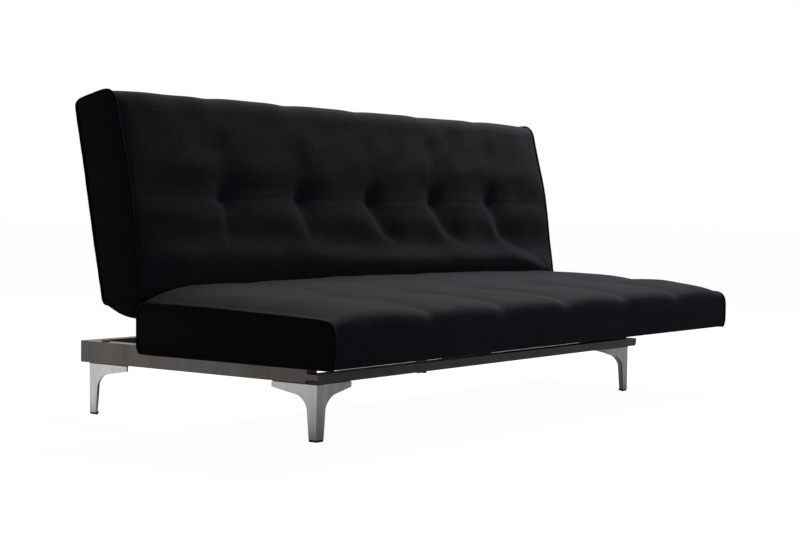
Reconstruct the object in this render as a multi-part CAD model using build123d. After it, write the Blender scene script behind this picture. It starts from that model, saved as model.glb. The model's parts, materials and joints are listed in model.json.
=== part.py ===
from build123d import *
import math
import os

# Futon sofa bed, in millimetres.  X runs along its length, Y from front (-) to rear (+), Z up.
# The origin is on the floor, under the middle of the object drawn upright as a sofa.

# ---- driving dimensions -------------------------------------------------------------------
CUSHION_LENGTH = 2000.0
SEAT_FRONT = -557.5
SEAT_DEPTH = 665.0
SEAT_UNDERSIDE = 213.0
SEAT_EDGE_HEIGHT = 340.0
SEAT_CROWN_HEIGHT = 378.0
BACK_THICKNESS = 142.0
BACK_LENGTH = 545.0
BACK_RECLINE = 12.0
BACK_CROWN = 20.0
COVER = 2.5
TUFT_PITCH = 325.5

PIVOT_Y = 121.3
PIVOT_Z = 328.0
FLAT_TURN = 90.0 - BACK_RECLINE
SEAT_LIFT = 26.0

FRAME_HALF_LENGTH = 803.0
FRAME_FRONT = -337.5
FRAME_REAR = 557.5
RAIL_BOTTOM = 150.0
RAIL_HEIGHT = 60.0
RAIL_WIDTH = 40.0
RAIL_WALL = 2.0
FRONT_RAIL_HEIGHT = 24.0

LEG_INSET = 20.0
LEG_WALL = 5.5
LEG_SIDE_WING = 155.0
LEG_FRONT_WING = 136.0
LEG_SPACER = 5.0
GLIDE_HEIGHT = 6.0

PLATE = 5.0
PLATE_GAP = 1.6
WASHER = 1.0
EYE_RADIUS = 14.0
PIN_RADIUS = 6.0
FIT = 0.04

DECK_TOP = 262.0
DUST_COVER = 1.5
DECK_RAIL = 22.0
HINGE_RAIL = 40.0
FREE = 0.4

RATCHET_RADIUS = 20.0
RATCHET_ROOT = 14.2
PAWL_ANGLE = 236.3
PAWL_REACH = 30.0
PAWL_TRAVEL = 11.0

# ---- values that follow from them -----------------------------------------------------------
HALF = CUSHION_LENGTH / 2
SEAT_REAR = SEAT_FRONT + SEAT_DEPTH
RAIL_TOP = RAIL_BOTTOM + RAIL_HEIGHT
DECK_BOTTOM = SEAT_UNDERSIDE + DUST_COVER
BRACKET_X = FRAME_HALF_LENGTH - RAIL_WIDTH - PLATE
SEAT_ARM_X = BRACKET_X - PLATE_GAP - PLATE
BACK_ARM_X = SEAT_ARM_X - PLATE_GAP - PLATE
HINGE_RAIL_X = SEAT_ARM_X + PLATE + HINGE_RAIL / 2
BACK_BOTTOM = PIVOT_Y + 28.7
BACK_UNDERSIDE = SEAT_UNDERSIDE
BACK_FACE = BACK_UNDERSIDE + BACK_THICKNESS
PIVOT_AXIS = Axis((0, PIVOT_Y, PIVOT_Z), (-1, 0, 0))
TUFTS_X = [TUFT_PITCH * place for place in (-2, -1, 0, 1, 2)]
BACK_TUFT_Y = PIVOT_Y + 291.0
SEAT_TUFT_Y = SEAT_FRONT + 290.0

os.makedirs("parts", exist_ok=True)


# ---- helpers --------------------------------------------------------------------------------
def block(x0, x1, y0, y1, z0, z1):
    """A box between two corners."""
    box = Box(x1 - x0, y1 - y0, z1 - z0)
    return Pos((x0 + x1) / 2, (y0 + y1) / 2, (z0 + z1) / 2) * box


def side_block(side, x0, x1, y0, y1, z0, z1):
    """A box given for the right end, or its mirror image at the left end."""
    low, high = sorted((side * x0, side * x1))
    return block(low, high, y0, y1, z0, z1)


def plate_along_x(sketch, x0, x1):
    """A sketch whose own x and y are Y and Z, given thickness from x0 to x1."""
    low, high = sorted((x0, x1))
    return Pos(low, 0, 0) * (Plane.YZ * extrude(sketch, high - low))


def plate_along_y(sketch, y0, y1):
    """A sketch whose own x and y are X and Z, given thickness from y0 to y1."""
    plane = Plane((0, y1, 0), x_dir=(1, 0, 0), z_dir=(0, -1, 0))
    return plane * extrude(sketch, y1 - y0)


def rod_x(x0, x1, y, z, radius):
    """A round bar along X."""
    low, high = sorted((x0, x1))
    return Pos((low + high) / 2, y, z) * Rot(0, 90, 0) * Cylinder(radius, high - low)


def rod_z(x, y, z0, z1, radius):
    """A round bar along Z."""
    return Pos(x, y, (z0 + z1) / 2) * Cylinder(radius, z1 - z0)


def hexagon_z(x, y, z0, z1, across):
    """A bolt head or nut that stands along Z."""
    outline = RegularPolygon(across / math.sqrt(3), 6)
    return Pos(x, y, z0) * extrude(outline, z1 - z0)


def joined(shapes):
    """One solid from shapes that overlap."""
    whole = shapes[0]
    for shape in shapes[1:]:
        whole = whole + shape
    return whole


def upright(shape):
    """The back is drawn lying flat, as in the bed, and turned up about the hinge."""
    return shape.rotate(PIVOT_AXIS, -FLAT_TURN)


def write(name, shapes):
    """One STEP for one node, from a list of its separate solids."""
    solids = []
    for shape in shapes:
        solids.extend(shape.solids())
    export_step(Compound(children=solids), "parts/" + name + ".step")


# ---- base frame -----------------------------------------------------------------------------
def box_tube(x0, x1, y0, y1, z0, z1, corner):
    """A closed rectangular tube with its long edges rounded."""
    outer = block(x0, x1, y0, y1, z0, z1)
    along_x = (x1 - x0) > (y1 - y0)
    outer = fillet(outer.edges().filter_by(Axis.X if along_x else Axis.Y), corner)
    inner = block(x0 + RAIL_WALL, x1 - RAIL_WALL, y0 + RAIL_WALL, y1 - RAIL_WALL,
                  z0 + RAIL_WALL, z1 - RAIL_WALL)
    return outer - inner


def front_rail():
    """A low flat tube with its lower outer corners rounded off."""
    top = RAIL_BOTTOM + FRONT_RAIL_HEIGHT
    corner = 12.0
    outer = block(-FRAME_HALF_LENGTH, FRAME_HALF_LENGTH, FRAME_FRONT, FRAME_FRONT + RAIL_WIDTH,
                  RAIL_BOTTOM, top)
    lower_ends = outer.edges().filter_by(Axis.Y).group_by(Axis.Z)[0]
    outer = fillet(lower_ends, corner)
    inner = block(-FRAME_HALF_LENGTH + corner, FRAME_HALF_LENGTH - corner,
                  FRAME_FRONT + RAIL_WALL, FRAME_FRONT + RAIL_WIDTH - RAIL_WALL,
                  RAIL_BOTTOM + RAIL_WALL, top - RAIL_WALL)
    return outer - inner


def rear_rail():
    """The full-height rear tube, with rounded upright corners."""
    outer = block(-FRAME_HALF_LENGTH, FRAME_HALF_LENGTH, FRAME_REAR - RAIL_WIDTH, FRAME_REAR,
                  RAIL_BOTTOM, RAIL_TOP)
    rear_corners = outer.edges().filter_by(Axis.Z).group_by(Axis.Y)[-1]
    outer = fillet(rear_corners, 10.0)
    inner = block(-FRAME_HALF_LENGTH + 12, FRAME_HALF_LENGTH - 12,
                  FRAME_REAR - RAIL_WIDTH + RAIL_WALL, FRAME_REAR - RAIL_WALL,
                  RAIL_BOTTOM + RAIL_WALL, RAIL_TOP - RAIL_WALL)
    return outer - inner


def side_rail(side):
    """A full-height tube from behind the front rail to the rear rail, open at its front end."""
    x0, x1 = sorted((side * (FRAME_HALF_LENGTH - RAIL_WIDTH), side * FRAME_HALF_LENGTH))
    y0 = FRAME_FRONT + RAIL_WIDTH
    y1 = FRAME_REAR - RAIL_WIDTH
    tube = box_tube(x0, x1, y0, y1, RAIL_BOTTOM, RAIL_TOP, 1.0)
    mouth = block(x0 + RAIL_WALL, x1 - RAIL_WALL, y0 - 1, y0 + 10,
                  RAIL_BOTTOM + FRONT_RAIL_HEIGHT + RAIL_WALL, RAIL_TOP - RAIL_WALL)
    return tube - mouth


def side_rail_cap(side):
    """A plastic plug in the front mouth of a side rail, above the front rail."""
    x0, x1 = sorted((side * (FRAME_HALF_LENGTH - RAIL_WIDTH), side * FRAME_HALF_LENGTH))
    y0 = FRAME_FRONT + RAIL_WIDTH
    wall = RAIL_WALL + 0.1
    z0 = RAIL_BOTTOM + FRONT_RAIL_HEIGHT + wall
    flange = block(x0, x1, y0 - 2.5, y0, z0 - wall, RAIL_TOP)
    plug = block(x0 + wall, x1 - wall, y0, y0 + 8, z0, RAIL_TOP - wall)
    return flange + plug


def center_rail():
    """A stretcher from the front rail to the rear rail."""
    return box_tube(-20, 20, FRAME_FRONT + RAIL_WIDTH, FRAME_REAR - RAIL_WIDTH,
                    RAIL_BOTTOM, RAIL_BOTTOM + FRONT_RAIL_HEIGHT, 1.0)


# ---- legs -----------------------------------------------------------------------------------
LEG_TOP = RAIL_BOTTOM - LEG_SPACER
LEG_X = FRAME_HALF_LENGTH - LEG_INSET
LEG_FRONT_Y = FRAME_FRONT + LEG_INSET
LEG_REAR_Y = FRAME_REAR - LEG_INSET
LEG_FLANGE = 24.0


def leg_profile(wing):
    """One plate of a leg: a stem at the corner that sweeps out into a thin wing under the rail."""
    tip = 14.0
    stem_top = 84.0
    stem = 34.0
    foot = 25.0
    taper = 2.0
    sweep_out = 74.0
    sweep_height = LEG_TOP - 27.0
    top = Line((0, LEG_TOP), (wing, LEG_TOP))
    end = Line((wing, LEG_TOP), (wing, LEG_TOP - tip))
    under = Line((wing, LEG_TOP - tip), (sweep_out, sweep_height))
    slope = ((tip - 27.0) / (wing - sweep_out))
    curve = TangentArc([(sweep_out, sweep_height), (stem, stem_top)], tangent=(-1, slope))
    inner = Line((stem, stem_top), (foot + taper, GLIDE_HEIGHT))
    toe = Line((foot + taper, GLIDE_HEIGHT), (taper, GLIDE_HEIGHT))
    ridge = Line((taper, GLIDE_HEIGHT), (0, LEG_TOP))
    return make_face([top, end, under, curve, inner, toe, ridge])


def leg():
    """The leg at its own corner, at X = 0 and Y = 0, with its wings along +X and +Y."""
    front = plate_along_y(leg_profile(LEG_FRONT_WING), 0, LEG_WALL)
    side = plate_along_x(leg_profile(LEG_SIDE_WING), 0, LEG_WALL)
    flange_z = LEG_TOP - LEG_WALL
    flange_x = block(0, LEG_FRONT_WING - 20, 0, LEG_FLANGE, flange_z, LEG_TOP)
    flange_y = block(0, LEG_FLANGE, 0, LEG_SIDE_WING - 20, flange_z, LEG_TOP)
    casting = joined([front, side, flange_x, flange_y])
    for x, y in LEG_BOLTS:
        casting = casting - rod_z(x, y, flange_z - 1, LEG_TOP + 1, 4.05)
    return casting


LEG_BOLTS = [(14.5, 14.5), (90.0, 14.5), (14.5, 105.0)]


def leg_spacer():
    """A flat plastic angle between a leg and the rails."""
    arm_x = block(0, LEG_FRONT_WING - 4, 0.5, LEG_FLANGE - 4, LEG_TOP, RAIL_BOTTOM)
    arm_y = block(0.5, LEG_FLANGE - 4, 0.5, LEG_SIDE_WING - 4, LEG_TOP, RAIL_BOTTOM)
    angle = arm_x + arm_y
    for x, y in LEG_BOLTS:
        angle = angle - rod_z(x, y, LEG_TOP - 1, RAIL_BOTTOM + 1, 4.05)
    return angle


def leg_bolts():
    """Three hexagon bolts, up through the flange and spacer to the underside of the rails."""
    bolts = []
    for x, y in LEG_BOLTS:
        head = hexagon_z(x, y, LEG_TOP - LEG_WALL - 4.5, LEG_TOP - LEG_WALL, 13.0)
        bolts.append(head + rod_z(x, y, LEG_TOP - LEG_WALL, RAIL_BOTTOM, 4.0))
    return bolts


def glide():
    """A plastic shoe under the angle of the leg."""
    reach = 27.5
    shoe = block(1.5, reach, 1.5, 8.5, 0, GLIDE_HEIGHT) + block(1.5, 8.5, 1.5, reach, 0, GLIDE_HEIGHT)
    return fillet(shoe.edges().group_by(Axis.Z)[0], 1.5)


def at_corner(shape, side_x, side_y):
    """A leg piece moved from its own corner to one corner of the frame, mirrored to suit."""
    if side_x > 0:
        shape = mirror(shape, about=Plane.YZ)
    if side_y > 0:
        shape = mirror(shape, about=Plane.XZ)
    y = LEG_REAR_Y if side_y > 0 else LEG_FRONT_Y
    return Pos(side_x * LEG_X, y, 0) * shape


# ---- hinge sets -----------------------------------------------------------------------------
BRACKET_BOLTS = [(132.0, 190.0), (170.0, 190.0), (132.0, 168.0), (170.0, 168.0)]


def bracket(side):
    """A steel plate bolted inside the side rail, with the pivot eye at its top."""
    front = PIVOT_Y - 12.5
    outline = Polyline((front, PIVOT_Z), (front, 158), (190, 158), (190, 196), (162, 206), (148, 224),
                       (145, 250), (PIVOT_Y + 12.5, PIVOT_Z), close=True)
    sketch = make_face(outline) + Pos(PIVOT_Y, PIVOT_Z) * Circle(EYE_RADIUS)
    plate = plate_along_x(sketch, side * BRACKET_X, side * (BRACKET_X + PLATE))
    plate = plate - rod_x(side * (BRACKET_X - 1), side * (BRACKET_X + PLATE + 1), PIVOT_Y, PIVOT_Z,
                          PIN_RADIUS + FIT)
    for y, z in BRACKET_BOLTS:
        plate = plate - rod_x(side * (BRACKET_X - 1), side * (BRACKET_X + PLATE + 1), y, z, 4.05)
    return plate


def bracket_bolts(side):
    """Bolt heads and shanks through a bracket, ending at the rail."""
    bolts = []
    for y, z in BRACKET_BOLTS:
        head = rod_x(side * (BRACKET_X - 4), side * BRACKET_X, y, z, 7.0)
        shank = rod_x(side * BRACKET_X, side * (BRACKET_X + PLATE), y, z, 4.0)
        bolts.append(head + shank)
    return bolts


def pivot_pin(side):
    """The main hinge pin, with a head outside and a riveted end inside."""
    inner = BACK_ARM_X - 0.5
    outer = BRACKET_X + PLATE
    shaft = rod_x(side * (inner - 3.5), side * (outer + 4), PIVOT_Y, PIVOT_Z, PIN_RADIUS)
    head = rod_x(side * outer, side * (outer + 4), PIVOT_Y, PIVOT_Z, 10.0)
    rivet = rod_x(side * (inner - 3.5), side * inner, PIVOT_Y, PIVOT_Z, 9.0)
    return joined([shaft, head, rivet])


def pivot_washers(side):
    """Thin nylon washers that keep the three plates apart."""
    washers = []
    for gap_start in (BRACKET_X - PLATE_GAP, SEAT_ARM_X - PLATE_GAP):
        start = gap_start + (PLATE_GAP - WASHER) / 2
        ring = rod_x(side * start, side * (start + WASHER), PIVOT_Y, PIVOT_Z, 11.0)
        hole = rod_x(side * (start - 1), side * (start + 2), PIVOT_Y, PIVOT_Z, PIN_RADIUS + FIT)
        washers.append(ring - hole)
    return washers


ARM_START = 44.0
ARM_END = 250.0
ARM_SCREWS = [110.0, 165.0, 220.0]


def arm_point(direction, away, height):
    """Y and Z of a point away from the pivot, forward for the seat (-1) or rearward (+1)."""
    return (PIVOT_Y + direction * away, PIVOT_Z + height)


def arm_sketch(direction):
    """An arm that leaves the eye and drops to the top of the deck."""
    drop = DECK_TOP - PIVOT_Z
    points = [(0, EYE_RADIUS), (96, drop + 30), (ARM_END, drop + 30), (ARM_END, drop),
              (ARM_START + 4, drop), (-10, -9)]
    outline = Polyline([arm_point(direction, a, h) for a, h in points], close=True)
    return make_face(outline) + Pos(PIVOT_Y, PIVOT_Z) * Circle(EYE_RADIUS)


def arm_flange(side, arm_x, direction):
    """The flat foot of an arm, on the top of its hinge rail."""
    y0, y1 = sorted((PIVOT_Y + direction * 90, PIVOT_Y + direction * ARM_END))
    return side_block(side, arm_x, HINGE_RAIL_X + HINGE_RAIL / 2 - 4, y0, y1, DECK_TOP, DECK_TOP + 4)


def arm_screw_places(side, direction):
    """The places of the wood screws in one flange."""
    return [(side * (HINGE_RAIL_X + 4), PIVOT_Y + direction * away) for away in ARM_SCREWS]


def screw_holes(shape, side, direction):
    """Cuts the clearance holes for one arm's screws."""
    for x, y in arm_screw_places(side, direction):
        shape = shape - rod_z(x, y, DECK_TOP - 26, DECK_TOP + 6, 2.6)
    return shape


def arm_screws(side, direction):
    """Wood screws with round heads on the flange."""
    screws = []
    for x, y in arm_screw_places(side, direction):
        head = rod_z(x, y, DECK_TOP + 4, DECK_TOP + 7, 5.0)
        screws.append(head + rod_z(x, y, DECK_TOP - 25, DECK_TOP + 4, 2.5))
    return screws


def pin_hole(side, x, radius=PIN_RADIUS + FIT):
    """A cutter for the main pin's hole through one plate."""
    return rod_x(side * (x - 1), side * (x + PLATE + 1), PIVOT_Y, PIVOT_Z, radius)


RADIAL = (math.cos(math.radians(PAWL_ANGLE)), math.sin(math.radians(PAWL_ANGLE)))
TANGENT = (RADIAL[1], -RADIAL[0])
PAWL_EDGE = RATCHET_RADIUS + 0.6
PAWL_HALF = 4.5


def hinge_point(out, along):
    """Y and Z from the pivot: a distance out towards the pawl's nose, and one along its lever."""
    return (PIVOT_Y + out * RADIAL[0] + along * TANGENT[0], PIVOT_Z + out * RADIAL[1] + along * TANGENT[1])


PAWL_PIVOT = hinge_point(PAWL_EDGE + PAWL_HALF, PAWL_REACH)


def seat_arm(side):
    """The seat's arm, with an ear for the pawl and a lug for its spring."""
    lug = hinge_point(PAWL_EDGE + 2 * PAWL_HALF + 14, PAWL_REACH - 6)
    sketch = arm_sketch(-1) + Pos(*PAWL_PIVOT) * Circle(9)
    link = Polyline(PAWL_PIVOT, lug, arm_point(-1, 60, -50), arm_point(-1, 20, -5), close=True)
    sketch = sketch + make_face(link)
    plate = plate_along_x(sketch, side * SEAT_ARM_X, side * (SEAT_ARM_X + PLATE))
    arm = plate + arm_flange(side, SEAT_ARM_X, -1)
    arm = arm - pin_hole(side, SEAT_ARM_X)
    arm = arm - rod_x(side * (SEAT_ARM_X - 1), side * (SEAT_ARM_X + PLATE + 1), *PAWL_PIVOT, 3.0 + FIT)
    return screw_holes(arm, side, -1)


def back_arm(side):
    """The back's arm, drawn flat, with the toothed sector of the ratchet round its eye."""
    plate = make_face(Polyline([arm_point(1, a, h) for a, h in
                                [(-4, EYE_RADIUS - 1), (96, DECK_TOP - PIVOT_Z + 30),
                                 (ARM_END, DECK_TOP - PIVOT_Z + 30), (ARM_END, DECK_TOP - PIVOT_Z),
                                 (ARM_START + 4, DECK_TOP - PIVOT_Z), (16, -14)]], close=True))
    sketch = plate + Pos(PIVOT_Y, PIVOT_Z) * Circle(RATCHET_RADIUS)
    for step in range(-1, 4):
        angle = PAWL_ANGLE + SEAT_LIFT * step - FLAT_TURN
        depth = RATCHET_RADIUS + 4 - RATCHET_ROOT
        notch = Pos(RATCHET_ROOT + depth / 2, 0) * Rectangle(depth, 5.6)
        sketch = sketch - Pos(PIVOT_Y, PIVOT_Z) * Rot(0, 0, angle) * notch
    solid = plate_along_x(sketch, side * BACK_ARM_X, side * (BACK_ARM_X + PLATE))
    arm = solid + arm_flange(side, BACK_ARM_X, 1)
    arm = arm - pin_hole(side, BACK_ARM_X)
    return screw_holes(arm, side, 1)


def pawl(side):
    """The pawl with its nose, drawn swung clear of the ratchet."""
    lever = make_face(Polyline(hinge_point(PAWL_EDGE, PAWL_REACH), hinge_point(PAWL_EDGE, -2.2),
                               hinge_point(PAWL_EDGE + 7, -2.2),
                               hinge_point(PAWL_EDGE + 2 * PAWL_HALF, PAWL_REACH), close=True))
    nose = make_face(Polyline(hinge_point(RATCHET_ROOT + 0.8, 1.5), hinge_point(RATCHET_ROOT + 0.8, -1.5),
                              hinge_point(PAWL_EDGE + 1, -2.2), hinge_point(PAWL_EDGE + 1, 2.2), close=True))
    sketch = lever + nose + Pos(*PAWL_PIVOT) * Circle(PAWL_HALF + 1.5)
    solid = plate_along_x(sketch, side * BACK_ARM_X, side * (BACK_ARM_X + PLATE))
    solid = solid - rod_x(side * (BACK_ARM_X - 1), side * (BACK_ARM_X + PLATE + 1), *PAWL_PIVOT, 3.0 + FIT)
    return solid.rotate(Axis((0, *PAWL_PIVOT), (1, 0, 0)), -PAWL_TRAVEL)


def pawl_pin(side):
    """The rivet that the pawl turns on, fixed in the seat's arm."""
    shaft = rod_x(side * (BACK_ARM_X - 2.4), side * (SEAT_ARM_X + PLATE + 2), *PAWL_PIVOT, 3.0)
    head = rod_x(side * (BACK_ARM_X - 2.4), side * (BACK_ARM_X - 0.4), *PAWL_PIVOT, 5.5)
    tail = rod_x(side * (SEAT_ARM_X + PLATE), side * (SEAT_ARM_X + PLATE + 2), *PAWL_PIVOT, 5.0)
    return joined([shaft, head, tail])


# ---- seat and back cushions -----------------------------------------------------------------
def end_rounding(inset, face, crown):
    """The front view of a cushion: level along its middle, falling in an arc at each end."""
    end = HALF - inset
    shoulder = HALF - 130
    low = SEAT_UNDERSIDE - 20
    middle = (end + shoulder) / 2 + 14
    knee = face + (crown - face) * 0.72 - inset
    left = ThreePointArc((-end, face - inset), (-middle, knee), (-shoulder, crown - inset))
    right = ThreePointArc((shoulder, crown - inset), (middle, knee), (end, face - inset))
    rest = Polyline((end, face - inset), (end, low), (-end, low), (-end, face - inset))
    return make_face([left, Line((-shoulder, crown - inset), (shoulder, crown - inset)), right, rest])


def seat_section(inset):
    """The seat from the side: straight front and rear faces, rounded edges and a crowned top."""
    front = SEAT_FRONT + inset
    rear = SEAT_REAR - inset
    floor = SEAT_UNDERSIDE
    up = Line((front, floor), (front, 306))
    nose = ThreePointArc((front, 306), (front + 11, 332 - inset), (front + 36, SEAT_EDGE_HEIGHT - inset))
    crown = ThreePointArc((front + 36, SEAT_EDGE_HEIGHT - inset), (-230, SEAT_CROWN_HEIGHT - inset),
                          (70, 352 - inset))
    heel = ThreePointArc((70, 352 - inset), (rear - 12, 345 - inset), (rear, 326 - inset))
    down = Line((rear, 326 - inset), (rear, floor))
    return make_face([up, nose, crown, heel, down, Line((rear, floor), (front, floor))])


def back_section(inset):
    """The back lying flat, from the side: a soft roll at the hinge end, a slanted top edge."""
    start = BACK_BOTTOM + inset
    top_front = BACK_BOTTOM + BACK_LENGTH - 5 - inset
    top_rear = BACK_BOTTOM + BACK_LENGTH + 5 - inset
    floor = BACK_UNDERSIDE
    face = BACK_FACE - inset
    roll = ThreePointArc((start, floor + 8), (PIVOT_Y - 8 + inset, floor + 62), (start, face - 16))
    lip = Line((start, face - 16), (start + 12, face))
    crown = ThreePointArc((start + 12, face), (start + 250, face + BACK_CROWN), (top_front - 18, face))
    corner = ThreePointArc((top_front - 18, face), (top_front - 5, face - 5), (top_front, face - 18))
    end = Line((top_front, face - 18), (top_rear, floor + 12))
    base = Polyline((top_rear, floor + 12), (top_rear - 12, floor), (start, floor), (start, floor + 8))
    return make_face([roll, lip, crown, corner, end, base])


def seat_block(inset):
    """The whole outer shape of the seat, drawn in by a cover's thickness."""
    body = plate_along_x(seat_section(inset), -HALF + inset, HALF - inset)
    outline = end_rounding(inset, SEAT_EDGE_HEIGHT + 4, SEAT_CROWN_HEIGHT)
    return body & plate_along_y(outline, SEAT_FRONT - 10, SEAT_REAR + 10)


def back_block(inset):
    """The whole outer shape of the back, drawn in by a cover's thickness."""
    body = plate_along_x(back_section(inset), -HALF + inset, HALF - inset)
    ends = plate_along_y(end_rounding(inset, BACK_FACE, BACK_FACE + BACK_CROWN), BACK_BOTTOM - 60,
                         BACK_BOTTOM + BACK_LENGTH + 20)
    return body & ends


SEAT_POCKET = (-962.0, 962.0, SEAT_FRONT + 38, SEAT_REAR - 22)
BACK_POCKET = (-962.0, 962.0, BACK_BOTTOM + 18, BACK_BOTTOM + BACK_LENGTH - 38)


def deck_pocket(pocket):
    """The recess that the wooden deck fills, open underneath."""
    x0, x1, y0, y1 = pocket
    return block(x0 - FREE, x1 + FREE, y0 - FREE, y1 + FREE, SEAT_UNDERSIDE - 1, DECK_TOP + FREE)


def seat_slots():
    """Cuts in the seat round the two hinge sets."""
    cuts = []
    for side in (-1, 1):
        inside = BACK_ARM_X - 9
        cuts.append(side_block(side, inside, HINGE_RAIL_X + 22, PIVOT_Y - ARM_END - 4, PIVOT_Y - 80,
                               DECK_TOP, DECK_TOP + 34))
        cuts.append(side_block(side, inside, BRACKET_X + PLATE + 8, PIVOT_Y - 110, SEAT_REAR + 5,
                               SEAT_UNDERSIDE - 1, SEAT_CROWN_HEIGHT + 5))
    return joined(cuts)


def back_slots():
    """Cuts in the back round the two hinge sets, and round the brackets when it lies flat."""
    cuts = []
    for side in (-1, 1):
        inside = BACK_ARM_X - 9
        cuts.append(side_block(side, inside, HINGE_RAIL_X + 22, PIVOT_Y + 80, PIVOT_Y + ARM_END + 4,
                               DECK_TOP, DECK_TOP + 34))
        cuts.append(side_block(side, inside, BRACKET_X + PLATE + 8, PIVOT_Y - 40, PIVOT_Y + 110,
                               BACK_UNDERSIDE - 1, BACK_FACE - 8))
        cuts.append(side_block(side, inside, BRACKET_X + PLATE + 8, PIVOT_Y - 40, BACK_BOTTOM + 16,
                               BACK_UNDERSIDE - 1, BACK_FACE + 5))
    return joined(cuts)


def tie_holes(shape, tuft_y, top):
    """Cuts the channels for the tuft ties."""
    for x in TUFTS_X:
        shape = shape - rod_z(x, tuft_y, DECK_TOP - 5, top + 1, 1.8)
    return shape


SEAT_TIE_TOP = 336.0
BACK_TIE_TOP = 326.0


def cushion(outer, inner, pocket, slots, tuft_y, tie_top):
    """A fabric cover and the foam inside it, both cut for the deck, hinges and ties."""
    cutter = deck_pocket(pocket) + slots
    cover = outer - inner - cutter
    foam = tie_holes(inner - cutter, tuft_y, tie_top)
    return cover, foam


# ---- decks inside the cushions --------------------------------------------------------------
def deck_rails(pocket, direction):
    """Six timber rails: two long ones, two ends, and two under the hinge arms."""
    x0, x1, y0, y1 = pocket
    low_name, high_name = ("front", "rear") if direction < 0 else ("bottom", "top")
    rails = {}
    rails[low_name] = block(x0, x1, y0, y0 + DECK_RAIL, DECK_BOTTOM, DECK_TOP)
    rails[high_name] = block(x0, x1, y1 - DECK_RAIL, y1, DECK_BOTTOM, DECK_TOP)
    across = (y0 + DECK_RAIL, y1 - DECK_RAIL)
    for side, name in ((-1, "left"), (1, "right")):
        rails[name + "_end"] = side_block(side, x1 - DECK_RAIL, x1, *across, DECK_BOTTOM, DECK_TOP)
        hinge = side_block(side, HINGE_RAIL_X - HINGE_RAIL / 2, HINGE_RAIL_X + HINGE_RAIL / 2, *across,
                           DECK_BOTTOM, DECK_TOP)
        rails[name + "_hinge"] = screw_holes(hinge, side, direction)
    return rails


SPRING_COUNT = 9
SPRING_SPACING = 150.0
SPRING_WIRE = 1.9
SPRING_PITCH = 44.0
SPRING_HALF_WIDTH = 24.0
SPRING_STUB = 16.0
SPRING_Z = DECK_TOP - 4


def sinuous_spring(x, y0, y1):
    """A zigzag wire spring from one long rail to the other, with rounded bends and straight ends."""
    count = int((y1 - y0 - 2 * SPRING_STUB) / SPRING_PITCH)
    step = (y1 - y0 - 2 * SPRING_STUB) / count
    points = [(x, y0), (x, y0 + SPRING_STUB)]
    for number in range(1, count):
        sign = 1 if number % 2 else -1
        points.append((x + sign * SPRING_HALF_WIDTH, y0 + SPRING_STUB + number * step))
    points.extend([(x, y1 - SPRING_STUB), (x, y1)])
    path = FilletPolyline(*[(px, py, SPRING_Z) for px, py in points], radius=6.0)
    start = Plane(origin=path @ 0, z_dir=path % 0)
    return sweep(start * Circle(SPRING_WIRE), path=path)


def spring_places():
    """The places of the springs along the cushion."""
    first = -SPRING_SPACING * (SPRING_COUNT - 1) / 2
    return [first + SPRING_SPACING * number for number in range(SPRING_COUNT)]


def springs(pocket):
    """The row of springs across the middle bay."""
    y0 = pocket[2] + DECK_RAIL + 0.5
    y1 = pocket[3] - DECK_RAIL - 0.5
    return [sinuous_spring(x, y0, y1) for x in spring_places()]


def spring_clips(pocket):
    """Short steel sleeves on the rails that hold each spring end."""
    clips = []
    for x in spring_places():
        for y, turn in ((pocket[2] + DECK_RAIL, 1), (pocket[3] - DECK_RAIL, -1)):
            low, high = sorted((y, y + turn * 8))
            clip = block(x - 6, x + 6, low, high, SPRING_Z - 3.8, SPRING_Z + 3.8)
            channel = block(x - 2.2, x + 2.2, low - 1, high + 1, SPRING_Z - 2.2, SPRING_Z + 2.2)
            clips.append(clip - channel)
    return clips


def dust_cover(pocket):
    """A thin cloth stapled under the deck rails."""
    x0, x1, y0, y1 = pocket
    return block(x0, x1, y0, y1, SEAT_UNDERSIDE, DECK_BOTTOM)


def tuft_ties(tuft_y, top):
    """Twine from each tuft down to a washer under the foam."""
    ties = []
    for x in TUFTS_X:
        twine = rod_z(x, tuft_y, DECK_TOP - 2, top, 1.25)
        washer = rod_z(x, tuft_y, DECK_TOP - 1.6, DECK_TOP - 0.2, 9.0)
        ties.append(twine + washer)
    return ties


# ---- rest pads ------------------------------------------------------------------------------
def rest_pads(places_y):
    """Rubber discs on top of the side rails, under the hinge rails of a cushion's deck."""
    x = FRAME_HALF_LENGTH - RAIL_WIDTH / 2
    return [rod_z(side * x, y, RAIL_TOP, SEAT_UNDERSIDE - FREE, 12.0) for side in (-1, 1) for y in places_y]


# ---- write every node -------------------------------------------------------------------------
write("front_rail", [front_rail()])
write("rear_rail", [rear_rail()])
write("center_rail", [center_rail()])
for side, name in ((-1, "left"), (1, "right")):
    write(name + "_side_rail", [side_rail(side)])
    write(name + "_hinge_bracket", [bracket(side)])
    write(name + "_pivot_pin", [pivot_pin(side)])
    write(name + "_seat_arm", [seat_arm(side)])
    write(name + "_back_arm", [upright(back_arm(side))])
    write(name + "_pawl", [pawl(side)])
write("side_rail_caps", [side_rail_cap(-1), side_rail_cap(1)])
write("hinge_bracket_bolts", bracket_bolts(-1) + bracket_bolts(1))
write("pivot_washers", pivot_washers(-1) + pivot_washers(1))
write("pawl_pins", [pawl_pin(-1), pawl_pin(1)])
write("seat_arm_screws", arm_screws(-1, -1) + arm_screws(1, -1))
write("back_arm_screws", [upright(screw) for side in (-1, 1) for screw in arm_screws(side, 1)])

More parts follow.
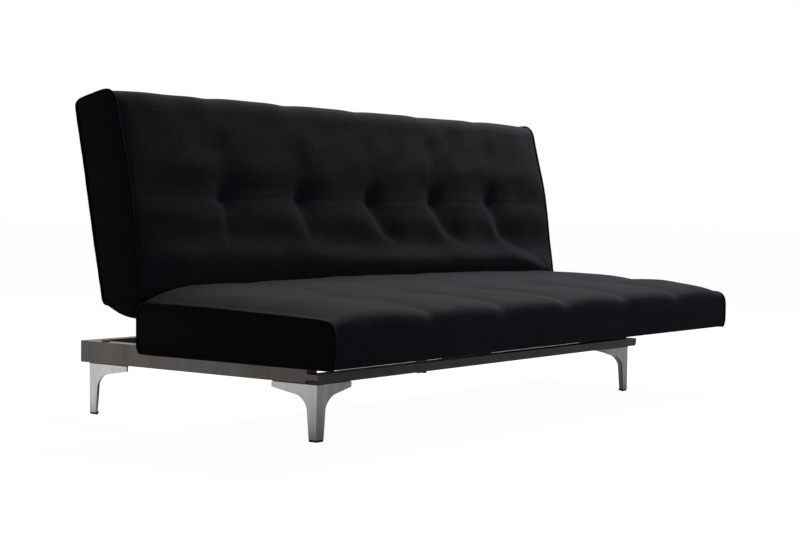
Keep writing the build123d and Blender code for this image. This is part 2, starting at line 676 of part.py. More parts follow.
bolt_group = []
spacer_group = []
for side_y, end in ((-1, "front"), (1, "rear")):
    for side_x, name in ((-1, "left"), (1, "right")):
        write("leg_" + end + "_" + name, [at_corner(leg(), side_x, side_y)])
        write("glide_" + end + "_" + name, [at_corner(glide(), side_x, side_y)])
        bolt_group.extend(at_corner(bolt, side_x, side_y) for bolt in leg_bolts())
        spacer_group.append(at_corner(leg_spacer(), side_x, side_y))
write("leg_bolts", bolt_group)
write("leg_spacers", spacer_group)

write("seat_rest_pads", rest_pads((FRAME_FRONT + 90, FRAME_FRONT + 290)))
write("back_rest_pads", rest_pads((FRAME_REAR - 260, FRAME_REAR - 90)))

seat_cover, seat_foam = cushion(seat_block(0), seat_block(COVER), SEAT_POCKET, seat_slots(),
                                SEAT_TUFT_Y, SEAT_TIE_TOP)
write("seat_cover", [seat_cover])
write("seat_foam", [seat_foam])
back_cover, back_foam = cushion(back_block(0), back_block(COVER), BACK_POCKET, back_slots(),
                                BACK_TUFT_Y, BACK_TIE_TOP)
write("back_cover", [upright(back_cover)])
write("back_foam", [upright(back_foam)])

for name, pocket, direction, turn, tuft_y, tie_top in (
        ("seat", SEAT_POCKET, -1, lambda shape: shape, SEAT_TUFT_Y, SEAT_TIE_TOP),
        ("back", BACK_POCKET, 1, upright, BACK_TUFT_Y, BACK_TIE_TOP)):
    for rail_name, rail in deck_rails(pocket, direction).items():
        write(name + "_deck_" + rail_name + "_rail", [turn(rail)])
    write(name + "_springs", [turn(spring) for spring in springs(pocket)])
    write(name + "_spring_clips", [turn(clip) for clip in spring_clips(pocket)])
    write(name + "_dust_cover", [turn(dust_cover(pocket))])
    write(name + "_tuft_ties", [turn(tie) for tie in tuft_ties(tuft_y, tie_top)])
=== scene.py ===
"""Looks of the futon sofa bed: upholstered cushions, piping, stitching, finishes, light and camera.

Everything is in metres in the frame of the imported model: X along the sofa, Y from front to rear, Z up.
"""
import json
import math
from functools import partial

import bpy
import numpy as np
from mathutils import Matrix, Vector


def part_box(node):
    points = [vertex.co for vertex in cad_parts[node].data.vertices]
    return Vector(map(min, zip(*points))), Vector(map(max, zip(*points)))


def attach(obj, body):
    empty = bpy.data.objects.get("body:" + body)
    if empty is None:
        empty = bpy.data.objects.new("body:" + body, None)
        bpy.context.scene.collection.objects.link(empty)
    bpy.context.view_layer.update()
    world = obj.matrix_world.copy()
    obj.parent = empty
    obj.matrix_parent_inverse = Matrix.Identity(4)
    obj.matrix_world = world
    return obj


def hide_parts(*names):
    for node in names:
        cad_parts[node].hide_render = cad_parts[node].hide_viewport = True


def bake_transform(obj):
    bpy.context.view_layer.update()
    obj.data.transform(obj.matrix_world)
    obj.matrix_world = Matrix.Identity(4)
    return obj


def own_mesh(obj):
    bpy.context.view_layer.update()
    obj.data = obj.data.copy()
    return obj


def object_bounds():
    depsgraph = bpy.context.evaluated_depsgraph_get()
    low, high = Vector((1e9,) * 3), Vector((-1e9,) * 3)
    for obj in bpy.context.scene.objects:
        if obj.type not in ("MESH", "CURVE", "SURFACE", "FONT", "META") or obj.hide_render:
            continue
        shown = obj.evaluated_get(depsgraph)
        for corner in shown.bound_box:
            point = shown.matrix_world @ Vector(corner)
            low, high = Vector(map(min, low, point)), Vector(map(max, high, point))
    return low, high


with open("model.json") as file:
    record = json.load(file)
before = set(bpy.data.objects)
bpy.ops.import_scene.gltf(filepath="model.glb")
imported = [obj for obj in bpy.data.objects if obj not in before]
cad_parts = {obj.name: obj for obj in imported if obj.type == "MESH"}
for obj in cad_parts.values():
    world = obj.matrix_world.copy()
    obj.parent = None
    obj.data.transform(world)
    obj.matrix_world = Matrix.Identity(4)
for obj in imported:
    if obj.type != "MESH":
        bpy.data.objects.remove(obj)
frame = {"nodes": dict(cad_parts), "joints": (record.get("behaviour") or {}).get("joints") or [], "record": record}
cad_low, cad_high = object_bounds()

# ---- sizes read from the frame -------------------------------------------------------------
PIVOT = Vector(next(j for j in frame["joints"] if j["name"] == "back_recline")["pos_m"])
RECLINE = math.radians(12.0)
HALF = cad_high.x
SEAT_LOW, SEAT_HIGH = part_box("seat_cover")
DUST_LOW, DUST_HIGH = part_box("seat_dust_cover")
TIE_LOW, TIE_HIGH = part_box("seat_tuft_ties")

UP = np.array([math.sin(RECLINE), math.cos(RECLINE)])
BEHIND = np.array([math.cos(RECLINE), -math.sin(RECLINE)])

TUFT_PITCH = 0.3255
TUFTS = [TUFT_PITCH * place for place in (-2, -1, 0, 1, 2)]
BACK_TUFT_S = 0.2875
SEAT_TUFT_Y = (TIE_LOW.y + TIE_HIGH.y) / 2

BACK_HALF = HALF - 0.011

# Cushions: the piping's radius, the strip at each end with closer columns and their step, how far an end
# panel bulges, the rows across it, and the groove that the wrap makes beside the piping.
PIPING = 0.0052
END_STRIP = 0.06
END_STEP = 0.006
END_BULGE = 0.006
END_ROWS = 14
GROOVE_DEPTH = 0.0035
GROOVE_WIDTH = 0.006
TUFT_FALLOFF = 1.7
SOFT_EDGE = 0.004
# Cloth simulation: how far a point may move on each cushion, the pressure inside and the frames run.
BACK_SWELL = 0.0012
SEAT_SWELL = 0.004
CLOTH_PRESSURE = 3.0
CLOTH_FRAMES = 14


# ---- numpy helpers ---------------------------------------------------------------------------
def ease(low, high, value):
    """A smooth step: 0 below low, 1 above high, 3t^2 - 2t^3 between them."""
    t = np.clip((value - low) / (high - low), 0.0, 1.0)
    return t * t * (3.0 - 2.0 * t)


def bell(centre, width, value):
    """A bell curve exp(-((value - centre) / width)^2)."""
    return np.exp(-(((value - centre) / width) ** 2))


def rounded(distance, width, power):
    """A rounded shoulder: 0 at an edge and 1 further than width from it, steeper for a higher power."""
    return 1.0 - (1.0 - np.clip(distance / width, 0.0, 1.0)) ** power


def dimple(reach, depth, radius):
    """How far a tuft pulls the surface in at a distance reach from it."""
    return depth / (1.0 + (reach / radius) ** TUFT_FALLOFF)


def within(low, high, value):
    """1 between low and high, and 0 outside them, with a soft edge."""
    above = ease(low - SOFT_EDGE, low + SOFT_EDGE, value)
    return above * (1 - ease(high - SOFT_EDGE, high + SOFT_EDGE, value))


def spline(points, count):
    """count points evenly spaced along a Catmull-Rom curve through the given points."""
    points = np.asarray(points, float)
    padded = np.vstack([2 * points[0] - points[1], points, 2 * points[-1] - points[-2]])
    t = np.linspace(0.0, 1.0, 24, endpoint=False)[:, None]
    a, b, c, d = (padded[i:len(padded) - 3 + i, None] for i in range(4))
    square = (2 * a - 5 * b + 4 * c - d) * t ** 2
    cube = (3 * b - a - 3 * c + d) * t ** 3
    fine = 0.5 * (2 * b + (c - a) * t + square + cube)
    fine = np.vstack([fine.reshape(-1, points.shape[1]), points[-1:]])
    reach = np.concatenate([[0.0], np.cumsum(np.linalg.norm(np.diff(fine, axis=0), axis=1))])
    want = np.linspace(0.0, reach[-1], count)
    return np.stack([np.interp(want, reach, fine[:, k]) for k in range(points.shape[1])], axis=1)


def soft_noise(x, y, scale, seed, waves=9):
    """Smooth noise of about -1 to 1: a sum of sine waves about scale long, in seeded directions."""
    rng = np.random.default_rng(seed)
    total = np.zeros(np.broadcast(x, y).shape)
    for angle, phase, stretch in zip(rng.uniform(0, math.tau, waves), rng.uniform(0, math.tau, waves),
                                     rng.uniform(0.6, 1.6, waves)):
        step = math.tau / (scale * stretch)
        total = total + np.sin((x * math.cos(angle) + y * math.sin(angle)) * step + phase)
    return total / math.sqrt(waves * 2.0)


def mesh_object(name, points, faces, uv=None):
    """A mesh object from arrays of points and faces, with an optional UV pair for each face corner."""
    mesh = bpy.data.meshes.new(name)
    mesh.from_pydata(np.asarray(points, float).tolist(), [], faces)
    if uv is not None:
        layer = mesh.uv_layers.new(name="cloth")
        layer.data.foreach_set("uv", np.asarray(uv, np.float32).ravel())
    mesh.shade_smooth()
    obj = bpy.data.objects.new(name, mesh)
    bpy.context.scene.collection.objects.link(obj)
    return obj


def apply_modifiers(obj):
    """Bakes an object's modifiers into its mesh."""
    graph = bpy.context.evaluated_depsgraph_get()
    mesh = bpy.data.meshes.new_from_object(obj.evaluated_get(graph), depsgraph=graph)
    obj.modifiers.clear()
    obj.data = mesh
    obj.data.name = obj.name
    obj.data.shade_smooth()
    return obj


def quads(rows, columns, wrap_columns=False):
    """Faces of a grid numbered row by row. The last row meets the first, and so may the columns."""
    r = np.arange(rows)
    c = np.arange(columns if wrap_columns else columns - 1)
    r, c = np.meshgrid(r, c, indexing="ij")
    r1, c1 = (r + 1) % rows, (c + 1) % columns
    faces = np.stack([r * columns + c, r * columns + c1, r1 * columns + c1, r1 * columns + c], axis=-1)
    return faces.reshape(-1, 4)


def tube(name, path, radius, sides=10):
    """A round cord in a closed loop: a circle carried along a path, turned with the path's own direction."""
    path = np.asarray(path, float)
    along = np.roll(path, -1, axis=0) - np.roll(path, 1, axis=0)
    along /= np.linalg.norm(along, axis=1, keepdims=True)
    side = np.cross(along, [1.0, 0.0, 0.0])
    weak = np.linalg.norm(side, axis=1) < 1e-3
    side[weak] = np.cross(along[weak], [0.0, 0.0, 1.0])
    side /= np.linalg.norm(side, axis=1, keepdims=True)
    other = np.cross(along, side)
    angle = np.linspace(0.0, math.tau, sides, endpoint=False)
    cosine, sine = np.cos(angle)[None, :, None], np.sin(angle)[None, :, None]
    ring = radius * (cosine * side[:, None] + sine * other[:, None])
    points = (path[:, None] + ring).reshape(-1, 3)
    faces = quads(len(path), sides, wrap_columns=True)
    corner = np.array([[0, 0], [0, 1], [1, 1], [1, 0]], float)
    steps = np.linalg.norm(np.roll(path, -1, axis=0) - path, axis=1)
    reach = np.concatenate([[0.0], np.cumsum(steps)])
    uv = np.zeros((len(path), sides, 4, 2))
    uv[..., 0] = reach[:-1, None, None] + corner[:, 0] * steps[:, None, None]
    uv[..., 1] = (np.arange(sides)[None, :, None] + corner[:, 1]) * radius * math.tau / sides
    return mesh_object(name, points, faces.tolist(), uv)


# ---- cushion builder -----------------------------------------------------------------------
def column_places(half, step, edge_step, edge):
    """Places along X, closer together near both ends."""
    middle = np.linspace(-half + edge, half - edge, int((half - edge) * 2 / step))
    near = np.linspace(-half, -half + edge, int(edge / edge_step))[:-1]
    return np.concatenate([near, middle, -near[::-1]])


def closed_cushion(name, first, second, xs, shape, end_bulge):
    """One closed cushion, and the loops of points round its two ends.

    first and second are outlines of equal length that share both end points, and so make a closed loop;
    the loop is carried along xs as the wrap, moved by shape(x, loop, outward), and each end is filled by
    straight rows between opposite loop points, bulged along X by up to end_bulge.
    """
    loop = np.vstack([first, second[-2:0:-1]])
    turn = np.roll(loop, -1, axis=0) - np.roll(loop, 1, axis=0)
    outward = np.stack([turn[:, 1], -turn[:, 0]], axis=1)
    outward /= np.linalg.norm(outward, axis=1, keepdims=True)
    area = np.sum(loop[:, 0] * np.roll(loop[:, 1], -1) - np.roll(loop[:, 0], -1) * loop[:, 1])
    if area < 0:
        outward = -outward
    rows, columns = len(loop), len(xs)
    x = np.broadcast_to(xs[None, :], (rows, columns))
    place = np.broadcast_to(loop[:, None], (rows, columns, 2))
    normal = np.broadcast_to(outward[:, None], (rows, columns, 2))
    x, section = shape(x, place, normal)
    points = np.concatenate([x[..., None], section], axis=-1).reshape(-1, 3)
    wrap = quads(rows, columns)
    if area < 0:
        wrap = wrap[:, ::-1]
    steps = np.linalg.norm(np.roll(loop, -1, axis=0) - loop, axis=1)
    reach = np.concatenate([[0.0], np.cumsum(steps)])
    corner_row = np.array([0, 0, 1, 1]) if area >= 0 else np.array([1, 1, 0, 0])
    corner_column = np.array([0, 1, 1, 0])
    u = np.broadcast_to(xs[(np.arange(columns - 1)[:, None] + corner_column)][None], (rows, columns - 1, 4))
    v = np.broadcast_to(reach[(np.arange(rows)[:, None] + corner_row)][:, None], (rows, columns - 1, 4))
    uv = [np.stack([u, v], axis=-1).reshape(-1, 2)]
    faces = wrap.tolist()

    grid = points.reshape(rows, columns, 3)
    count = len(first) - 1
    share = np.linspace(0.0, 1.0, END_ROWS + 1)
    for end, direction in ((0, -1.0), (columns - 1, 1.0)):
        border = grid[:, end]
        top = border[:count + 1]
        bottom = np.vstack([border[:1], border[:count - 1:-1]])
        inner = top[1:-1, None] * (1 - share[None, 1:-1, None]) + bottom[1:-1, None] * share[None, 1:-1, None]
        along = np.linspace(0.0, 1.0, count + 1)[1:-1]
        rise = np.sin(math.pi * along)[:, None] ** 0.35 * np.sin(math.pi * share[1:-1])[None] ** 0.7
        inner[..., 0] += direction * end_bulge * rise
        base = len(points)
        points = np.vstack([points, inner.reshape(-1, 3)])
        ids = np.zeros((count + 1, END_ROWS + 1), int)
        ids[:, 0] = np.arange(count + 1) * columns + end
        low_rows = np.concatenate([[0], np.arange(rows - 1, count - 1, -1)])
        ids[:, -1] = low_rows * columns + end
        fresh = np.arange((count - 1) * (END_ROWS - 1))
        ids[1:-1, 1:-1] = base + fresh.reshape(count - 1, END_ROWS - 1)
        ids[0, 1:-1] = ids[0, 0]
        ids[-1, 1:-1] = ids[-1, 0]
        a, b = ids[:-1, :-1].ravel(), ids[:-1, 1:].ravel()
        c, d = ids[1:, 1:].ravel(), ids[1:, :-1].ravel()
        for face in np.stack([a, b, c, d], axis=1).tolist():
            kept = [f for k, f in enumerate(face) if f != face[k - 1]]
            if direction * area < 0:
                kept = kept[::-1]
            if len(kept) > 2:
                faces.append(kept)
                uv.append(points[kept][:, 1:])
    obj = mesh_object(name, points, faces, np.vstack(uv))
    return obj, (grid[:, 0], grid[:, -1])


def puff(obj, held, limit):
    """Swells a closed cushion by cloth simulation. held gives each vertex's grip, from 0 free to 1 fixed.

    No point moves further than limit, and the sewn lines stay where they are.
    """
    scene = bpy.context.scene
    group = obj.vertex_groups.new(name="held")
    rest = np.empty(len(obj.data.vertices) * 3)
    obj.data.vertices.foreach_get("co", rest)
    rest = rest.reshape(-1, 3)
    for level in np.unique(np.round(held, 1)):
        if level > 0:
            group.add(np.flatnonzero(np.isclose(np.round(held, 1), level)).tolist(), float(level), "REPLACE")
    cloth = obj.modifiers.new("cloth", "CLOTH")
    settings = cloth.settings
    settings.quality = 4
    settings.mass = 0.35
    settings.tension_stiffness = 12.0
    settings.compression_stiffness = 6.0
    settings.shear_stiffness = 4.0
    settings.bending_stiffness = 0.6
    settings.air_damping = 3.0
    settings.effector_weights.gravity = 0.0
    settings.use_pressure = True
    settings.uniform_pressure_force = CLOTH_PRESSURE
    settings.vertex_group_mass = "held"
    settings.pin_stiffness = 1.0
    cloth.point_cache.frame_start = 1
    cloth.point_cache.frame_end = CLOTH_FRAMES
    for number in range(1, CLOTH_FRAMES + 1):
        scene.frame_set(number)
    graph = bpy.context.evaluated_depsgraph_get()
    moved = np.empty(len(rest) * 3)
    obj.evaluated_get(graph).data.vertices.foreach_get("co", moved)
    move = moved.reshape(-1, 3) - rest
    length = np.linalg.norm(move, axis=1, keepdims=True)
    move *= limit * np.tanh(length / limit) / np.maximum(length, 1e-9)
    move *= (1.0 - np.clip(held, 0, 1))[:, None]
    obj.modifiers.clear()
    obj.vertex_groups.clear()
    obj.data.vertices.foreach_set("co", (rest + move).ravel())
    obj.data.update()
    scene.frame_set(1)


def subdivided(obj):
    """One smooth subdivision, applied."""
    modifier = obj.modifiers.new("smooth", "SUBSURF")
    modifier.levels = 1
    modifier.render_levels = 1
    modifier.uv_smooth = "NONE"
    return apply_modifiers(obj)


def end_piping(prefix, loops, count):
    """The cord round each end panel, as a tube through count points."""
    cords = []
    for side, loop in zip(("left", "right"), loops):
        path = spline(np.vstack([loop, loop[:1]]), count)[:-1]
        cords.append(tube(f"{prefix}_piping_{side}", path, PIPING))
    return cords


# ---- back cushion -----------------------------------------------------------------------------
def back_place(s, t):
    """Y and Z of a point s up the reclined back from the hinge and t behind the hinge."""
    y = PIVOT.y + s * UP[0] + t * BEHIND[0]
    z = PIVOT.z + s * UP[1] + t * BEHIND[1]
    return np.stack([y, z], axis=-1)


# Mesh density, and the back's outline as (s, t): s up the back from the hinge, t behind the hinge.
BACK_ROWS = 62
BACK_STEP = 0.0118
BACK_CORD_POINTS = 300
BACK_BOTTOM_S = 0.030
BACK_TOP_S = 0.579
BACK_REAR_T = 0.1165
BACK_FRONT_OUTLINE = [
    (BACK_TOP_S, 0.040), (0.578, 0.008), (0.570, -0.020), (0.548, -0.036), (0.500, -0.0385), (0.430, -0.0415),
    (0.340, -0.045), (0.250, -0.041), (0.160, -0.033), (0.090, -0.0285), (0.050, -0.0250), (0.034, -0.018),
    (BACK_BOTTOM_S, -0.004), (BACK_BOTTOM_S, 0.046)]
BACK_REAR_OUTLINE = [
    (BACK_TOP_S, 0.040), (0.578, 0.080), (0.575, 0.104), (0.562, BACK_REAR_T), (0.500, BACK_REAR_T),
    (0.380, BACK_REAR_T), (0.200, BACK_REAR_T + 0.001), (0.080, BACK_REAR_T + 0.001), (0.042, BACK_REAR_T),
    (BACK_BOTTOM_S + 0.001, 0.108), (BACK_BOTTOM_S, 0.090), (BACK_BOTTOM_S, 0.046)]


def fold_steps(x, s, path, height, reach, width):
    """How far a fold lowers the surface beside its crest.

    The crest is a curve through path. On one side of it the surface drops by height within width, then
    climbs back over reach; on the other it swells a little towards the crest. Both fade at the path's ends.
    """
    crest = spline(path, 40)
    start, step = crest[:-1], np.diff(crest, axis=0)
    length = np.sum(step * step, axis=1)
    px = x[..., None] - start[:, 0]
    ps = s[..., None] - start[:, 1]
    share = np.clip((px * step[:, 0] + ps * step[:, 1]) / length, 0.0, 1.0)
    dx = px - share * step[:, 0]
    ds = ps - share * step[:, 1]
    gap = np.hypot(dx, ds)
    nearest = np.argmin(gap, axis=-1)[..., None]
    distance = np.take_along_axis(gap, nearest, -1)[..., 0]
    cross = np.take_along_axis(step[:, 0] * ds - step[:, 1] * dx, nearest, -1)[..., 0]
    along = (nearest[..., 0] + np.take_along_axis(share, nearest, -1)[..., 0]) / len(step)
    signed = np.sign(cross) * distance
    strength = ease(0.0, 0.30, along) * (1.0 - ease(0.66, 1.0, along))
    down = ease(-0.3 * width, width, signed) * np.exp(-np.maximum(signed, 0.0) / reach)
    swell = 0.30 * bell(0.0, 0.050, np.minimum(signed + 0.2 * width, 0.0))
    swell = swell * (1 - ease(-0.2 * width, width, signed))
    return strength * height * (swell - down)


# The folds that hang from the tufts: the tuft's place, the crest's path from it as (x, s), how far the
# surface drops, how far the drop reaches, and how wide its step is.
FOLDS = [
    (-2, [(-0.060, 0.000), (-0.028, -0.028), (-0.022, -0.060), (-0.026, -0.106), (-0.020, -0.150)],
     0.0065, 0.060, 0.026),
    (-1, [(-0.070, 0.002), (-0.042, -0.028), (-0.022, -0.064), (-0.012, -0.104), (0.020, -0.150)],
     0.0080, 0.070, 0.028),
    (0, [(-0.070, 0.000), (-0.028, -0.042), (-0.004, -0.080), (0.022, -0.112), (0.075, -0.134),
         (0.150, -0.142)], 0.0125, 0.085, 0.034),
    (1, [(-0.070, 0.000), (-0.028, -0.042), (-0.004, -0.080), (0.022, -0.112), (0.075, -0.134),
         (0.160, -0.146)], 0.0135, 0.090, 0.036),
    (2, [(-0.080, 0.000), (-0.028, -0.038), (-0.012, -0.088), (0.016, -0.130), (0.118, -0.178),
         (0.230, -0.222), (0.330, -0.262)], 0.0150, 0.090, 0.036),
]


def back_front_height(x, s):
    """How far the back's front face stands out from its end outline, at x and s up the face.

    The sum of an end-to-end crown, a lower roll, tuft dimples, the stitched groove through them, valleys
    above each tuft, the folds that hang from the tufts, and slow unevenness.
    """
    from_end = HALF - np.abs(x)
    ends = rounded(from_end, 0.20, 2.3)
    crest = 0.122 - 0.028 * ease(-0.5, 0.1, x) - 0.012 * ease(0.55, 0.95, x)
    drop = np.where(s < crest, 0.064, 0.046)
    out = (0.016 + 0.015 * ease(-0.6, 0.4, x)) * bell(crest, drop, s)
    out = out + 0.0105 * ease(0.295, 0.400, s) + 0.009 * bell(0.235, 0.075, s)
    out = out * ends
    row = np.abs(s - BACK_TUFT_S)
    out = out - ends * 0.0014 / (1.0 + (row / 0.020) ** 2)
    out = out - ease(0.0, 0.05, from_end) * 0.0022 * bell(0.0, 0.0050, row)
    above = ease(BACK_TUFT_S, BACK_TUFT_S + 0.05, s)
    for tuft in TUFTS:
        reach = np.hypot((x - tuft) * 0.95, s - BACK_TUFT_S)
        out = out - dimple(reach, 0.0270, 0.027)
        fading = 1.0 - 0.6 * ease(BACK_TUFT_S + 0.05, 0.55, s)
        valley = 0.0018 * bell(tuft + 0.004, 0.030, x) + 0.0014 * bell(tuft, 0.085, x)
        out = out - ends * above * fading * valley
    for place, path, height, reach, width in FOLDS:
        centre = TUFTS[place + 2]
        route = [(centre + dx, BACK_TUFT_S + ds) for dx, ds in path]
        out = out + fold_steps(x, s, route, height, reach, width)
    out = out + ends * 0.0016 * soft_noise(x, s * 1.3, 0.16, 3) * ease(0.05, 0.12, s)
    return out - GROOVE_DEPTH * np.exp(-from_end / GROOVE_WIDTH)


# The recess for the dust cover, in X and up the back.
POCKET_X = DUST_HIGH.x
dust = np.array([list(v.co) for v in frame["nodes"]["back_dust_cover"].data.vertices])
dust_s = (dust[:, 1] - PIVOT.y) * UP[0] + (dust[:, 2] - PIVOT.z) * UP[1]
POCKET_S = (float(dust_s.min()), float(dust_s.max()))


def back_shape(x, place, normal):
    """The back's wrap: a crowned tufted front, a softly notched top, a rear recessed for its dust cover."""
    s, t = place[..., 0], place[..., 1]
    front = ease(0.25, 0.95, -normal[..., 1]) * ease(BACK_BOTTOM_S, BACK_BOTTOM_S + 0.025, s)
    top = ease(0.3, 0.9, normal[..., 0]) * ease(0.5, 0.56, s)
    rear = ease(0.6, 0.95, normal[..., 1])
    ends = rounded(HALF - np.abs(x), 0.13, 2.4)
    out = front * back_front_height(x, s)
    crest = ends * (0.004 + 0.0016 * soft_noise(x, 0.0 * x, 0.5, 11))
    for tuft in TUFTS:
        crest = crest - ends * 0.0030 * bell(tuft, 0.045, x)
    out = out + top * crest * (0.35 + 0.65 * (1.0 - ease(-0.02, 0.11, t)))
    pocket = within(-POCKET_X, POCKET_X, x) * within(*POCKET_S, s)
    out = out - rear * pocket * 0.0040
    out = out + rear * (1 - pocket) * 0.0006 * soft_noise(x * 2, s * 2, 0.12, 5)
    section = back_place(s + normal[..., 0] * out, t + normal[..., 1] * out)
    waist = bell(0.0, 0.035, t - 0.04) * (np.abs(normal[..., 0]) > 0.7)
    return x * (BACK_HALF / HALF) * (1.0 - 0.002 * waist), section


def make_back():
    """The back cushion with its piping and bottom rolls."""
    first = spline(BACK_FRONT_OUTLINE, BACK_ROWS)
    second = spline(BACK_REAR_OUTLINE, BACK_ROWS)
    xs = column_places(HALF, BACK_STEP, END_STEP, END_STRIP)
    cushion, loops = closed_cushion("back_cushion", first, second, xs, back_shape, END_BULGE)
    puff(cushion, held_back(cushion), BACK_SWELL)
    subdivided(cushion)
    parts = [cushion] + end_piping("back", loops, BACK_CORD_POINTS)
    rolls = make_bottom_rolls()
    for piece in parts + rolls:
        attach(piece, "back")
    for roll in rolls:
        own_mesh(roll)
    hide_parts("back_cover", "back_foam")
    return parts + rolls


def held_back(cushion):
    """Grip of the back's cloth: full at the tufts, the stitched row, the ends, the bottom and the rear."""
    co = np.array([v.co for v in cushion.data.vertices])
    s = (co[:, 1] - PIVOT.y) * UP[0] + (co[:, 2] - PIVOT.z) * UP[1]
    t = (co[:, 1] - PIVOT.y) * BEHIND[0] + (co[:, 2] - PIVOT.z) * BEHIND[1]
    held = np.maximum(ease(0.094, 0.104, t), 1 - ease(0.035, 0.060, s))
    held = np.maximum(held, 1 - ease(0.002, 0.014, HALF - np.abs(co[:, 0])))
    held = np.maximum(held, bell(BACK_TUFT_S, 0.030, s) * (t < 0.05))
    for tuft in TUFTS:
        reach = np.hypot(co[:, 0] - tuft, s - BACK_TUFT_S)
        held = np.maximum(held, bell(0.0, 0.050, reach) * (t < 0.05))
    return np.clip(held * 1.05, 0.0, 1.0)


ROLL_ROWS = 24
ROLL_LOWER = [(BACK_BOTTOM_S + 0.003, -0.019), (0.016, -0.013), (-0.002, 0.000), (-0.017, 0.018),
              (-0.023, 0.040), (-0.016, 0.062), (-0.004, 0.084), (0.012, 0.104),
              (BACK_BOTTOM_S - 0.002, 0.1140)]
ROLL_UPPER = [ROLL_LOWER[0], (BACK_BOTTOM_S + 0.004, 0.010), (BACK_BOTTOM_S + 0.004, 0.060),
              (BACK_BOTTOM_S + 0.002, 0.100), ROLL_LOWER[-1]]
# The roll stops short of the piping, and leaves a gap at each hinge.
ROLL_END = BACK_HALF - 0.004
HINGE_INNER = 0.729
HINGE_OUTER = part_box("right_seat_arm")[1].x + 0.006


def roll_shape(x, place, normal, low, high):
    """The soft roll under the back: it hangs unevenly and draws in towards its ends at low and high."""
    s, t = place[..., 0], place[..., 1]
    hang = ease(0.2, 0.8, -normal[..., 0])
    ends = rounded(np.minimum(x - low, high - x), 0.05, 2.2)
    out = -hang * (0.008 * (1 - ends) + 0.002 * soft_noise(x, t, 0.25, 21))
    return x, back_place(s + normal[..., 0] * out, t + normal[..., 1] * out)


def make_bottom_rolls():
    """The stuffed roll that closes the back below its bottom seam, in three stretches between the hinges."""
    lower = spline(ROLL_LOWER, ROLL_ROWS)
    upper = spline(ROLL_UPPER, ROLL_ROWS)
    rolls = []
    for name, low, high in (("left", -ROLL_END, -HINGE_OUTER), ("middle", -HINGE_INNER, HINGE_INNER),
                            ("right", HINGE_OUTER, ROLL_END)):
        xs = (low + high) / 2 + column_places((high - low) / 2, 0.020, 0.010, 0.04)
        shape = partial(roll_shape, low=low, high=high)
        roll, _ = closed_cushion(f"back_bottom_roll_{name}", lower, upper, xs, shape, 0.004)
        rolls.append(subdivided(roll))
    return rolls


# ---- seat cushion -----------------------------------------------------------------------------
SEAT_ROWS = 72
SEAT_STEP = 0.0125
SEAT_CORD_POINTS = 320
SEAT_FRONT = SEAT_LOW.y
SEAT_REAR = SEAT_HIGH.y
SEAT_FLOOR = SEAT_LOW.z
SEAT_TOP_OUTLINE = [
    (SEAT_FRONT, 0.262), (SEAT_FRONT, 0.296), (SEAT_FRONT + 0.003, 0.313), (SEAT_FRONT + 0.0135, 0.3245),
    (SEAT_FRONT + 0.040, 0.3300), (-0.437, 0.334), (-0.303, 0.3385), (-0.130, 0.3435), (0.020, 0.3450),
    (0.075, 0.3440), (0.097, 0.337), (0.1055, 0.318), (0.1055, 0.290), (0.1055, 0.262)]
SEAT_BOTTOM_OUTLINE = [
    (SEAT_FRONT, 0.262), (SEAT_FRONT, 0.232), (SEAT_FRONT + 0.003, 0.2185), (SEAT_FRONT + 0.014, 0.2135),
    (-0.400, 0.2130), (-0.220, 0.2130), (-0.050, 0.2130), (0.084, 0.2135), (0.0995, 0.2190), (0.1055, 0.234),
    (0.1055, 0.262)]


def seat_top_height(x, y):
    """How far the seat's top stands above its end outline at x and y.

    A crown that is fuller towards the back and rounds down at the front edge, with tuft dimples,
    valleys that run from each tuft to the front edge, a shallow stitched row and slow unevenness.
    """
    ends = rounded(HALF - np.abs(x), 0.16, 2.5)
    front = 0.36 + 0.64 * np.sqrt(np.clip((y - SEAT_FRONT) / 0.166, 0.0, 1.0))
    heel = rounded(SEAT_REAR - y, 0.040, 2.6)
    middle = 1.0 - (x / HALF) ** 2
    crown = 0.036 + 0.004 * ease(-0.45, -0.10, y) + 0.012 * middle * ease(-0.20, 0.06, y)
    out = ends * front * heel * crown
    row = np.abs(y - SEAT_TUFT_Y)
    out = out - ends * 0.005 / (1.0 + (row / 0.035) ** 2)
    for tuft in TUFTS:
        drift = tuft + 0.03 * (SEAT_TUFT_Y - y) / 0.29
        ahead = 1 - ease(SEAT_TUFT_Y - 0.03, SEAT_TUFT_Y + 0.04, y)
        out = out - ends * ahead * (0.0075 * bell(drift, 0.030, x) + 0.0040 * bell(drift, 0.085, x))
        behind = ease(SEAT_TUFT_Y - 0.02, SEAT_TUFT_Y + 0.05, y) * (1 - ease(-0.10, 0.06, y))
        out = out - ends * behind * 0.0040 * bell(tuft, 0.055, x)
        reach = np.hypot(x - tuft, y - SEAT_TUFT_Y)
        out = out - dimple(reach, 0.015, 0.030)
    return out + ends * front * heel * 0.0018 * soft_noise(x, y * 1.2, 0.20, 31)


